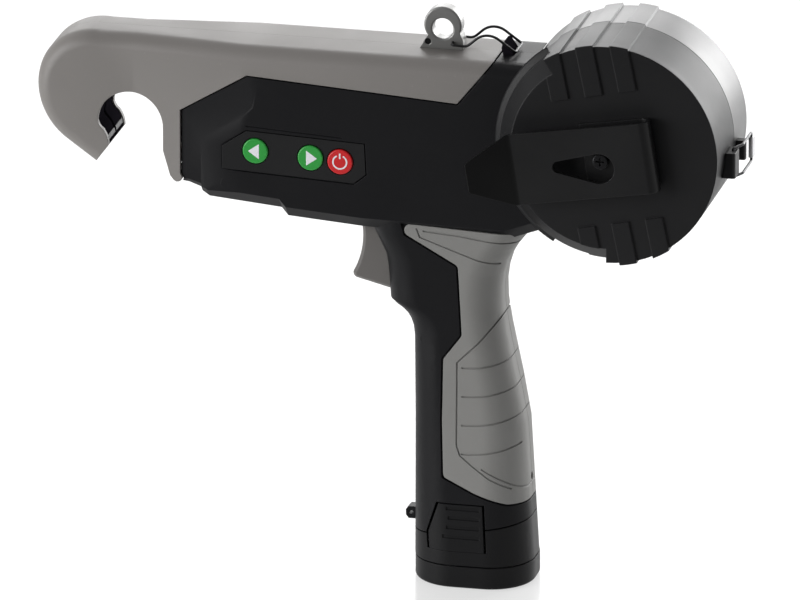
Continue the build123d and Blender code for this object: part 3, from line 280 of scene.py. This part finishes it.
def metal(name, colour, rough, drawn=(400.0, 400.0, 400.0), depth=0.000006, radius=0.0002):
    """Steel or brass: drawn lines, small stains and soft edges."""
    material, tree, surface = new_material(name)
    surface.inputs["Metallic"].default_value = 1.0
    place = tree.nodes.new("ShaderNodeTexCoord").outputs["Object"]
    stretch = tree.nodes.new("ShaderNodeMapping")
    stretch.inputs["Scale"].default_value = drawn
    tree.links.new(place, stretch.inputs["Vector"])
    lines = noise_node(tree, stretch.outputs["Vector"], 1.0, detail=4.0, roughness=0.6)
    edge = place_group(tree, soft_edge, Radius=radius)
    marks = place_group(tree, handling)
    lined = tint(tree, colour, range_node(tree, lines, 0.3, 0.7, 0.0, 1.0), scaled(colour, 0.78))
    stained = tint(tree, lined, math_node(tree, "MULTIPLY", marks.outputs["Rub"], 0.4), scaled(colour, 0.6))
    tree.links.new(stained, surface.inputs["Base Color"])
    tree.links.new(range_node(tree, lines, 0.25, 0.75, rough - 0.07, rough + 0.09),
                   surface.inputs["Roughness"])
    add_relief(tree, surface, lines, edge.outputs["Normal"], depth)
    return material


finishes = {
    "hood": moulded("grey_hood_plastic", warm_grey, 0.52, depth=0.000022, edge_highlight_lift=1.25, rub=1.08),
    "trigger": moulded("grey_trigger_plastic", scaled(warm_grey, 0.62), 0.46, edge_highlight_lift=1.25, rub=1.1),
    "eye": moulded("silver_eye_paint", eye_grey, 0.34, depth=0.000012, radius=0.0006, edge_highlight_lift=1.3,
                   rub=1.08, metal_share=0.55),
    "grip": moulded("soft_grip_rubber", grip_grey, 0.6, pits=1900.0, depth=0.00004, radius=0.0005,
                    edge_highlight_lift=1.15, sheen=0.06, rub=1.1),
    "body": moulded("black_body_plastic", body_black, 0.44, edge_highlight_lift=1.8, gloss=0.11),
    "drum": moulded("black_drum_plastic", drum_black, 0.46, pits=2000.0, depth=0.000035, radius=0.0008,
                    edge_highlight_lift=1.9, gloss=0.25),
    "drum_cover": moulded("black_cover_plastic", drum_black, 0.42, pits=2000.0, depth=0.000035,
                          radius=0.0008, edge_highlight_lift=1.9, gloss=0.95),
    "foot": moulded("black_battery_plastic", foot_black, 0.44, edge_highlight_lift=1.2, gloss=0.14),
    "panel": moulded("black_panel_film", panel_black, 0.5, pits=3200.0, depth=0.00001, radius=0.0003,
                     edge_highlight_lift=1.5, gloss=0.25),
    "guide": moulded("black_guide_nylon", guide_black, 0.6, depth=0.000012, radius=0.0003, gloss=0.0),
    "clip": moulded("black_clip_paint", clip_black, 0.38, pits=1500.0, depth=0.000012, radius=0.0004,
                    edge_highlight_lift=2.6, rub=1.3, gloss=0.3),
    "natural": moulded("natural_nylon", (0.62, 0.59, 0.52, 1.0), 0.45, edge_highlight_lift=1.05, rub=0.92),
    "board": moulded("board_lacquer", (0.016, 0.10, 0.035, 1.0), 0.3, pits=1200.0, depth=0.000008,
                     radius=0.0002, rub=0.8),
    "green_key": moulded("green_key_cap", key_green, 0.34, pits=3000.0, depth=0.000006, radius=0.0004,
                         edge_highlight_lift=1.5, sheen=0.05, rub=1.06),
    "red_key": moulded("red_key_cap", key_red, 0.34, pits=3000.0, depth=0.000006, radius=0.0004,
                       edge_highlight_lift=1.2, sheen=0.05, rub=1.04),
    "sign": moulded("white_key_print", sign_white, 0.42, pits=3600.0, depth=0.000004, radius=0.0001,
                    edge_highlight_lift=1.05, sheen=0.05, rub=0.96),
    "wrap": moulded("blue_cell_wrap", (0.02, 0.07, 0.3, 1.0), 0.3, pits=900.0, depth=0.000006, rub=1.1),
    "tie_wire": moulded("coated_tie_wire", (0.03, 0.13, 0.045, 1.0), 0.32, pits=700.0, depth=0.00001,
                        radius=0.0002),
    "spring_wire": metal("dark_spring_wire", (0.042, 0.042, 0.044, 1.0), 0.34, radius=0.0001),
    "screw": metal("blackened_screw", (0.035, 0.035, 0.037, 1.0), 0.36, radius=0.0002),
    "strip": metal("hardened_strip_steel", (0.03, 0.03, 0.031, 1.0), 0.42, drawn=(160.0, 2600.0, 160.0)),
    "steel": metal("bright_steel", (0.56, 0.56, 0.57, 1.0), 0.3, drawn=(2600.0, 160.0, 160.0)),
    "bronze": metal("bush_bronze", (0.5, 0.33, 0.16, 1.0), 0.4),
    "brass": metal("contact_brass", (0.62, 0.45, 0.2, 1.0), 0.28),
}
wearers = {
    "hood": ["left_hood_shell", "right_hood_shell"],
    "trigger": ["trigger"],
    "eye": ["hanging_eye"],
    "grip": ["left_grip_cover", "right_grip_cover"],
    "body": ["left_body_shell", "right_body_shell", "strap_lug", "trigger_switch", "battery_socket"],
    "drum": ["drum_base", "rear_bracket", "rear_catch"],
    "drum_cover": ["drum_cover"],
    "foot": ["battery_case", "battery_foot_cap", "battery_latch_left", "battery_latch_right"],
    "panel": ["control_panel"],
    "guide": ["jaw_guide", "top_catch"],
    "strip": ["cutting_strip"],
    "clip": ["belt_clip"],
    "natural": ["wire_spool", "feed_gear", "feed_pinion", "twist_gearbox"],
    "board": ["control_board", "main_board"],
    "green_key": ["feed_back_button", "feed_forward_button"],
    "red_key": ["power_button"],
    "wrap": ["battery_cells"],
    "spring_wire": ["top_bail", "rear_bail"],
    "screw": ["belt_clip_screw", "housing_screws", "hood_screws", "frame_screws", "hood_hinge_pin"],
    "steel": ["rear_bail_tab", "spool_axle", "feed_shaft", "drive_roller", "idler_roller", "idler_axle",
              "mechanism_frame", "wire_guides", "twist_spindle", "feed_motor", "twist_motor"],
    "tie_wire": ["wire_winding"],
    "bronze": ["spindle_bush"],
    "brass": ["battery_terminals"],
}


def wear(piece, finish):
    """Gives a piece one finish all over."""
    piece.data.materials.clear()
    piece.data.materials.append(finishes[finish])


for finish, names in wearers.items():
    for name in names:
        wear(nodes[name], finish)


# Clip's tongue, darkened in colour as far as its bend: painted shade
clip_turn = math.radians(9.0)
tongue_bend = 0.06295
shade_edge_blur = 0.0004


def paint_tongue_shade(material):
    """Darkens the clip's colour beyond the bend with painted shade, measured along the clip."""
    tree = material.node_tree
    surface = tree.nodes["Principled BSDF"]
    painted = surface.inputs["Base Color"].links[0].from_socket
    along = tree.nodes.new("ShaderNodeVectorMath")
    along.operation = "DOT_PRODUCT"
    tree.links.new(tree.nodes.new("ShaderNodeTexCoord").outputs["Object"], along.inputs[0])
    along.inputs[1].default_value = (math.cos(clip_turn), 0.0, math.sin(clip_turn))
    reach = along.outputs["Value"]
    # Mask of the tongue beyond the bend, where the shade is painted
    tongue = range_node(tree, reach, tongue_bend - shade_edge_blur, tongue_bend + shade_edge_blur, 1.0, 0.0)
    tree.links.new(tint(tree, painted, tongue, tongue_painted_shade), surface.inputs["Base Color"])


paint_tongue_shade(finishes["clip"])


# Smooth shading over gentle bends of the solids
def make_smoothing(angle):
    """Modifier tree that joins the split mesh and shades it smooth up to an angle."""
    tree = bpy.data.node_groups.new("smooth_gentle_bends", "GeometryNodeTree")
    tree.interface.new_socket("Geometry", in_out="INPUT", socket_type="NodeSocketGeometry")
    tree.interface.new_socket("Geometry", in_out="OUTPUT", socket_type="NodeSocketGeometry")
    given = tree.nodes.new("NodeGroupInput")
    result = tree.nodes.new("NodeGroupOutput")
    plain = tree.nodes.new("GeometryNodeRemoveAttribute")
    plain.inputs["Name"].default_value = "custom_normal"
    join = tree.nodes.new("GeometryNodeMergeByDistance")
    join.inputs["Distance"].default_value = join_within
    round_faces = tree.nodes.new("GeometryNodeSetShadeSmooth")
    round_faces.domain = "FACE"
    sharp = tree.nodes.new("GeometryNodeSetShadeSmooth")
    sharp.domain = "EDGE"
    bend = tree.nodes.new("GeometryNodeInputMeshEdgeAngle")
    gentle = tree.nodes.new("FunctionNodeCompare")
    gentle.operation = "LESS_THAN"
    gentle.inputs["B"].default_value = math.radians(angle)
    tree.links.new(given.outputs["Geometry"], plain.inputs["Geometry"])
    tree.links.new(plain.outputs["Geometry"], join.inputs["Geometry"])
    tree.links.new(join.outputs["Geometry"], round_faces.inputs["Geometry"])
    tree.links.new(round_faces.outputs["Geometry"], sharp.inputs["Geometry"])
    tree.links.new(bend.outputs["Unsigned Angle"], gentle.inputs["A"])
    tree.links.new(gentle.outputs["Result"], sharp.inputs["Shade Smooth"])
    tree.links.new(sharp.outputs["Geometry"], result.inputs["Geometry"])
    return tree


smoothing = make_smoothing(round_up_to)
for node in nodes.values():
    modifier = node.modifiers.new("smooth_gentle_bends", "NODES")
    modifier.node_group = smoothing
    weighing = node.modifiers.new("flats_stay_flat", "WEIGHTED_NORMAL")
    weighing.mode = "FACE_AREA"
    weighing.keep_sharp = True


# Pieces made here
def add_piece(name, mesh, body, finish):
    """Puts a finished mesh into the scene on its body."""
    piece = bpy.data.objects.new(name, mesh)
    bpy.context.scene.collection.objects.link(piece)
    wear(piece, finish)
    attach(piece, body)
    return piece


def print_mesh(name, outline, centre, face_y, thick=0.00006):
    """Thin printed sign on a key's face: an outline in side view, in millimetres about the key's middle."""
    shape = bmesh.new()
    front = [shape.verts.new((centre.x + x * mm, face_y - thick, centre.z + z * mm)) for x, z in outline]
    back = [shape.verts.new((centre.x + x * mm, face_y + thick, centre.z + z * mm)) for x, z in outline]
    shape.faces.new(front)
    shape.faces.new(list(reversed(back)))
    count = len(outline)
    for index in range(count):
        after = (index + 1) % count
        shape.faces.new((front[index], back[index], back[after], front[after]))
    bmesh.ops.recalc_face_normals(shape, faces=shape.faces)
    mesh = bpy.data.meshes.new(name)
    shape.to_mesh(mesh)
    shape.free()
    return mesh


def key_middle(name):
    """Middle of a key's face."""
    low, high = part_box(name)
    return Vector(((low.x + high.x) / 2, low.y, (low.z + high.z) / 2))


def rounded_triangle(point_x, base_x, half, rounding=0.35):
    """Triangle with small rounded corners, pointing along X."""
    corners = [Vector((point_x, 0.0)), Vector((base_x, half)), Vector((base_x, -half))]
    outline = []
    for index, corner in enumerate(corners):
        before = (corners[index - 1] - corner).normalized() * rounding
        after = (corners[(index + 1) % 3] - corner).normalized() * rounding
        for step in range(5):
            share = step / 4
            outline.append(corner + before * (1 - share) ** 2 + after * share ** 2)
    return [(point.x, point.y) for point in outline]


def open_ring(radius, stroke, half_gap):
    """Ring that is open at the top, as one outline."""
    steps = 44
    outer = []
    inner = []
    for step in range(steps + 1):
        angle = math.radians(90 + half_gap + (360 - 2 * half_gap) * step / steps)
        outer.append(((radius + stroke / 2) * math.cos(angle), (radius + stroke / 2) * math.sin(angle)))
        inner.append(((radius - stroke / 2) * math.cos(angle), (radius - stroke / 2) * math.sin(angle)))
    return outer + list(reversed(inner))


sign_outlines = {
    "feed_back_sign": ("feed_back_button", rounded_triangle(-3.5, 1.9, 3.8), "green_button"),
    "feed_forward_sign": ("feed_forward_button", rounded_triangle(3.4, -2.0, 3.8), "green_button"),
    "power_ring_sign": ("power_button", open_ring(3.35, 0.75, 26), "red_button"),
    "power_bar_sign": ("power_button", [(-0.38, 1.6), (0.38, 1.6), (0.38, 4.4), (-0.38, 4.4)], "red_button"),
}
for name, (key, outline, slot) in sign_outlines.items():
    middle = key_middle(key)
    add_piece(name, print_mesh(name, outline, middle, middle.y), key, "sign")


# Wound wire on the spool, ridge by ridge
def wound_wire_mesh(turns=24, steps_per_turn=6, ring_count=96, core_r=0.0181, ridge_high=0.001):
    """Ring of wound wire: its turns side by side across the spool, closed by the spool's core."""
    low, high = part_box("wire_winding")
    middle = (low + high) / 2
    outer_r = (high.x - low.x) / 2
    profile = [(low.y, core_r)]
    for step in range(turns * steps_per_turn + 1):
        share = step / (turns * steps_per_turn)
        ridge = abs(math.sin(math.pi * turns * share))
        profile.append((low.y + (high.y - low.y) * share, outer_r - ridge_high * (1 - ridge)))
    profile.append((high.y, core_r))
    shape = bmesh.new()
    rings = []
    for ring_step in range(ring_count):
        angle = 2 * math.pi * ring_step / ring_count
        side = Vector((math.cos(angle), 0.0, math.sin(angle)))
        ring = []
        for y, radius in profile:
            ring.append(shape.verts.new(Vector((middle.x, y, middle.z)) + side * radius))
        rings.append(ring)
    for index, ring in enumerate(rings):
        following = rings[(index + 1) % ring_count]
        for step in range(len(ring)):
            after = (step + 1) % len(ring)
            face = shape.faces.new((ring[step], ring[after], following[after], following[step]))
            face.smooth = True
    bmesh.ops.recalc_face_normals(shape, faces=shape.faces)
    mesh = bpy.data.meshes.new("wound_wire")
    shape.to_mesh(mesh)
    shape.free()
    return mesh


wound_wire = add_piece("wound_wire", wound_wire_mesh(), "spool", "tie_wire")
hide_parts("wire_winding")


# Rivet in the small hole of the eye's foot: a flat head sunk below the eye's face, and its shank
rivet_x = -0.0241
rivet_z = 0.2684
rivet_sunk = 0.00035
rivet_head_high = 0.00045
rivet_head_r = 0.0015
rivet_shank_r = 0.00085


def rivet_mesh():
    """Head and shank of the rivet, along Y."""
    low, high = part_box("hanging_eye")
    head_near = low.y + rivet_sunk
    head_far = head_near + rivet_head_high
    shank_near = (head_near + head_far) / 2
    shank_far = high.y - rivet_sunk
    upright = Matrix.Rotation(math.radians(90), 4, "X")
    shape = bmesh.new()
    for radius, near, far in ((rivet_head_r, head_near, head_far), (rivet_shank_r, shank_near, shank_far)):
        middle = Matrix.Translation((rivet_x, (near + far) / 2, rivet_z))
        bmesh.ops.create_cone(shape, cap_ends=True, segments=32, radius1=radius, radius2=radius,
                              depth=far - near, matrix=middle @ upright)
    mesh = bpy.data.meshes.new("eye_rivet")
    shape.to_mesh(mesh)
    shape.free()
    return mesh


add_piece("eye_rivet", rivet_mesh(), "hood", "screw")


# Floor, world and lamps
def make_floor():
    """Pale studio floor: white where it is seen, and dim in front of the tool to all other light."""
    bpy.ops.mesh.primitive_plane_add(size=floor_side, location=(0.0, 0.0, -floor_drop))
    floor = bpy.context.object
    floor.name = "studio_floor"
    material, tree, surface = new_material("pale_floor")
    place = tree.nodes.new("ShaderNodeTexCoord").outputs["Object"]
    parts = tree.nodes.new("ShaderNodeSeparateXYZ")
    tree.links.new(place, parts.inputs["Vector"])
    lit = range_node(tree, parts.outputs["Y"], floor_dim_y, floor_lit_y, 0.0, 1.0)
    tree.links.new(tint(tree, floor_dim, lit, floor_white), surface.inputs["Base Color"])
    surface.inputs["Roughness"].default_value = floor_rough
    glow = tree.nodes.new("ShaderNodeEmission")
    glow.inputs["Color"].default_value = pure_white
    rays = tree.nodes.new("ShaderNodeLightPath")
    mirrored = math_node(tree, "MAXIMUM", rays.outputs["Is Glossy Ray"], rays.outputs["Is Transmission Ray"])
    glow_mirrored = math_node(tree, "MULTIPLY", mirrored, math_node(tree, "MULTIPLY", lit, floor_glow))
    glow_seen = range_node(tree, lit, 0.0, 1.0, 1.0, floor_glow)
    seen = math_node(tree, "MULTIPLY", rays.outputs["Is Camera Ray"], glow_seen)
    mix = tree.nodes.new("ShaderNodeMixShader")
    tree.links.new(math_node(tree, "MAXIMUM", seen, glow_mirrored), mix.inputs["Fac"])
    tree.links.new(surface.outputs["BSDF"], mix.inputs[1])
    tree.links.new(glow.outputs["Emission"], mix.inputs[2])
    tree.links.new(mix.outputs["Shader"], tree.nodes["Material Output"].inputs["Surface"])
    floor.data.materials.append(material)


def make_world():
    """White to the camera and in reflections from behind; dim in front, fuller above and beside."""
    world = bpy.data.worlds.new("studio")
    bpy.context.scene.world = world
    world.use_nodes = True
    tree = world.node_tree
    white = tree.nodes["Background"]
    white.inputs["Color"].default_value = pure_white
    white.inputs["Strength"].default_value = 1.0
    direction = tree.nodes.new("ShaderNodeTexCoord").outputs["Generated"]
    parts = tree.nodes.new("ShaderNodeSeparateXYZ")
    tree.links.new(direction, parts.inputs["Vector"])
    behind = range_node(tree, parts.outputs["Y"], -0.2, 0.6, 0.0, 1.0)
    above = range_node(tree, parts.outputs["Z"], 0.3, 1.0, 0.0, 0.5)
    beside = range_node(tree, parts.outputs["X"], 0.3, 0.9, 0.0, 0.5)
    bright = math_node(tree, "MAXIMUM", behind, math_node(tree, "MAXIMUM", above, beside))
    studio = tree.nodes.new("ShaderNodeBackground")
    tree.links.new(range_node(tree, bright, 0.0, 1.0, 0.1, 0.9), studio.inputs["Strength"])
    studio.inputs["Color"].default_value = pure_white
    rays = tree.nodes.new("ShaderNodeLightPath")
    mirrored = math_node(tree, "MAXIMUM", rays.outputs["Is Glossy Ray"], rays.outputs["Is Transmission Ray"])
    behind_mirrored = math_node(tree, "MULTIPLY", mirrored, behind)
    seen = math_node(tree, "MAXIMUM", rays.outputs["Is Camera Ray"], behind_mirrored)
    mix = tree.nodes.new("ShaderNodeMixShader")
    tree.links.new(seen, mix.inputs["Fac"])
    tree.links.new(studio.outputs["Background"], mix.inputs[1])
    tree.links.new(white.outputs["Background"], mix.inputs[2])
    tree.links.new(mix.outputs["Shader"], tree.nodes["World Output"].inputs["Surface"])


def add_softbox(name, place, aim, wide, high, power):
    """Rectangular lamp aimed at a point."""
    lamp = bpy.data.lights.new(name, "AREA")
    lamp.shape = "RECTANGLE"
    lamp.size = wide
    lamp.size_y = high
    lamp.energy = power
    lamp.color = pure_white[:3]
    holder = bpy.data.objects.new(name, lamp)
    holder.location = place
    holder.rotation_euler = (Vector(aim) - Vector(place)).to_track_quat("-Z", "Y").to_euler()
    bpy.context.scene.collection.objects.link(holder)


tool_middle = (-0.02, 0.0, 0.17)
make_floor()
make_world()
for name, (place, wide, high, power) in soft_boxes.items():
    add_softbox(name, place, tool_middle, wide, high, power)

# Camera at the photograph's angle
right = Vector((math.cos(view_round), math.sin(view_round), 0.0))
level_back = Vector((math.sin(view_round), -math.cos(view_round), 0.0))
back = level_back * math.cos(view_up) + Vector((0.0, 0.0, math.sin(view_up)))
up = back.cross(right)
view_distance = lens_mm / sensor_mm * image_wide / pixels_per_metre
aim = right * (image_wide / 2 - origin_at[0]) / pixels_per_metre
aim += up * (origin_at[1] - image_high / 2) / pixels_per_metre
aim += back * Vector(tool_middle).dot(back)
camera = bpy.data.cameras.new("camera")
camera.lens = lens_mm
camera.sensor_width = sensor_mm
camera_holder = bpy.data.objects.new("camera", camera)
camera_holder.location = aim + back * view_distance
camera_holder.rotation_euler = (-back).to_track_quat("-Z", "Y").to_euler()
bpy.context.scene.collection.objects.link(camera_holder)
bpy.context.scene.camera = camera_holder
bpy.context.scene.view_settings.view_transform = "Standard"
